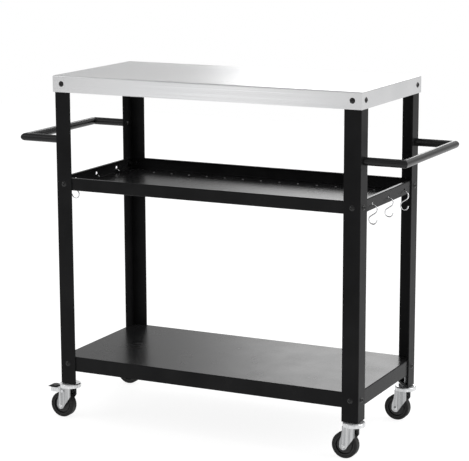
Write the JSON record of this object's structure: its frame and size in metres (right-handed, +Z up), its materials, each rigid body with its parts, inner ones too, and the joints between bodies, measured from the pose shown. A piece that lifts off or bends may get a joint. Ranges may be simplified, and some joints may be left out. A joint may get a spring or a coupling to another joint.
{
  "type": "grill cart",
  "caption": "Rolling side cart for a grill: steel top, middle tray and bottom shelf on angle legs, with tube end handles, S hooks and swivel casters.",
  "frame": {"origin": "on the floor under the middle of the cart", "axes": "+X to the right along the top's length, +Y to the back, +Z up; the row of small raised points on the tray's floor is near the back, and both brakes are on the left casters"},
  "size_m": [1.0078, 0.3858, 0.854],
  "materials": {
    "stainless": "polished sheet, faint grain along the length",
    "black_coat": "black powder coat, semi gloss",
    "zinc_steel": "bright zinc plate",
    "wire": "bright drawn wire",
    "hub_plastic": "moulded, satin",
    "pedal_plastic": "moulded, satin",
    "tyre_rubber": "moulded rubber, dull"
  },
  "bodies": {
    "frame": {"top_sheet": "stainless", "leg_front_left": "black_coat", "leg_front_right": "black_coat", "leg_back_left": "black_coat", "leg_back_right": "black_coat", "middle_tray": "black_coat", "bottom_shelf": "black_coat", "handle_left": "black_coat", "handle_right": "black_coat", "handle_plugs": "zinc_steel", "handle_screws": "black_coat", "top_bolts": "black_coat", "tray_bolts": "black_coat", "shelf_bolts": "black_coat", "frame_nuts": "black_coat", "foot_plates": "black_coat", "caster_stems": "zinc_steel", "head_cups": "zinc_steel", "race_balls": "zinc_steel"},
    "hook_left_front": {"hook_left_front": "wire"},
    "hook_left_middle": {"hook_left_middle": "wire"},
    "hook_left_back": {"hook_left_back": "wire"},
    "hook_right_front": {"hook_right_front": "wire"},
    "hook_right_middle": {"hook_right_middle": "wire"},
    "hook_right_back": {"hook_right_back": "wire"},
    "swivel_front_left": {"fork_front_left": "zinc_steel", "axle_front_left": "zinc_steel", "axle_tube_front_left": "zinc_steel", "axle_nut_front_left": "zinc_steel", "brake_pin_front": "zinc_steel"},
    "wheel_front_left": {"hub_front_left": "hub_plastic", "tyre_front_left": "tyre_rubber"},
    "swivel_front_right": {"fork_front_right": "zinc_steel", "axle_front_right": "zinc_steel", "axle_tube_front_right": "zinc_steel", "axle_nut_front_right": "zinc_steel"},
    "wheel_front_right": {"hub_front_right": "hub_plastic", "tyre_front_right": "tyre_rubber"},
    "swivel_back_left": {"fork_back_left": "zinc_steel", "axle_back_left": "zinc_steel", "axle_tube_back_left": "zinc_steel", "axle_nut_back_left": "zinc_steel", "brake_pin_back": "zinc_steel"},
    "wheel_back_left": {"hub_back_left": "hub_plastic", "tyre_back_left": "tyre_rubber"},
    "swivel_back_right": {"fork_back_right": "zinc_steel", "axle_back_right": "zinc_steel", "axle_tube_back_right": "zinc_steel", "axle_nut_back_right": "zinc_steel"},
    "wheel_back_right": {"hub_back_right": "hub_plastic", "tyre_back_right": "tyre_rubber"},
    "brake_front": {"brake_lever_front": "zinc_steel", "brake_pedal_front": "pedal_plastic"},
    "brake_back": {"brake_lever_back": "zinc_steel", "brake_pedal_back": "pedal_plastic"}
  },
  "joints": [
    {"name": "hook_left_front_swing", "type": "hinge", "parent": "frame", "child": "hook_left_front", "pos_m": [-0.3934, -0.1, 0.58614], "axis": [1, 0, 0], "range_deg": [-40, 40]},
    {"name": "hook_left_middle_swing", "type": "hinge", "parent": "frame", "child": "hook_left_middle", "pos_m": [-0.3934, 0, 0.58614], "axis": [1, 0, 0], "range_deg": [-40, 40]},
    {"name": "hook_left_back_swing", "type": "hinge", "parent": "frame", "child": "hook_left_back", "pos_m": [-0.3934, 0.1, 0.58614], "axis": [1, 0, 0], "range_deg": [-40, 40]},
    {"name": "hook_right_front_swing", "type": "hinge", "parent": "frame", "child": "hook_right_front", "pos_m": [0.3934, -0.1, 0.58614], "axis": [1, 0, 0], "range_deg": [-40, 40]},
    {"name": "hook_right_middle_swing", "type": "hinge", "parent": "frame", "child": "hook_right_middle", "pos_m": [0.3934, 0, 0.58614], "axis": [1, 0, 0], "range_deg": [-40, 40]},
    {"name": "hook_right_back_swing", "type": "hinge", "parent": "frame", "child": "hook_right_back", "pos_m": [0.3934, 0.1, 0.58614], "axis": [1, 0, 0], "range_deg": [-40, 40]},
    {"name": "swivel_front_left_turn", "type": "hinge", "parent": "frame", "child": "swivel_front_left", "pos_m": [-0.3805, -0.1665, 0.08], "axis": [0, 0, 1], "continuous": true},
    {"name": "wheel_front_left_roll", "type": "hinge", "parent": "swivel_front_left", "child": "wheel_front_left", "pos_m": [-0.4005, -0.1665, 0.03175], "axis": [0, 1, 0], "continuous": true},
    {"name": "swivel_front_right_turn", "type": "hinge", "parent": "frame", "child": "swivel_front_right", "pos_m": [0.3805, -0.1665, 0.08], "axis": [0, 0, 1], "continuous": true},
    {"name": "wheel_front_right_roll", "type": "hinge", "parent": "swivel_front_right", "child": "wheel_front_right", "pos_m": [0.3605, -0.1665, 0.03175], "axis": [0, 1, 0], "continuous": true},
    {"name": "swivel_back_left_turn", "type": "hinge", "parent": "frame", "child": "swivel_back_left", "pos_m": [-0.3805, 0.1665, 0.08], "axis": [0, 0, 1], "continuous": true},
    {"name": "wheel_back_left_roll", "type": "hinge", "parent": "swivel_back_left", "child": "wheel_back_left", "pos_m": [-0.4005, 0.1665, 0.03175], "axis": [0, 1, 0], "continuous": true},
    {"name": "swivel_back_right_turn", "type": "hinge", "parent": "frame", "child": "swivel_back_right", "pos_m": [0.3805, 0.1665, 0.08], "axis": [0, 0, 1], "continuous": true},
    {"name": "wheel_back_right_roll", "type": "hinge", "parent": "swivel_back_right", "child": "wheel_back_right", "pos_m": [0.3605, 0.1665, 0.03175], "axis": [0, 1, 0], "continuous": true},
    {"name": "brake_front_press", "type": "hinge", "parent": "swivel_front_left", "child": "brake_front", "pos_m": [-0.3945, -0.1665, 0.0685], "axis": [0, -1, 0], "range_deg": [0, 6]},
    {"name": "brake_back_press", "type": "hinge", "parent": "swivel_back_left", "child": "brake_back", "pos_m": [-0.3945, 0.1665, 0.0685], "axis": [0, -1, 0], "range_deg": [0, 6]}
  ]
}
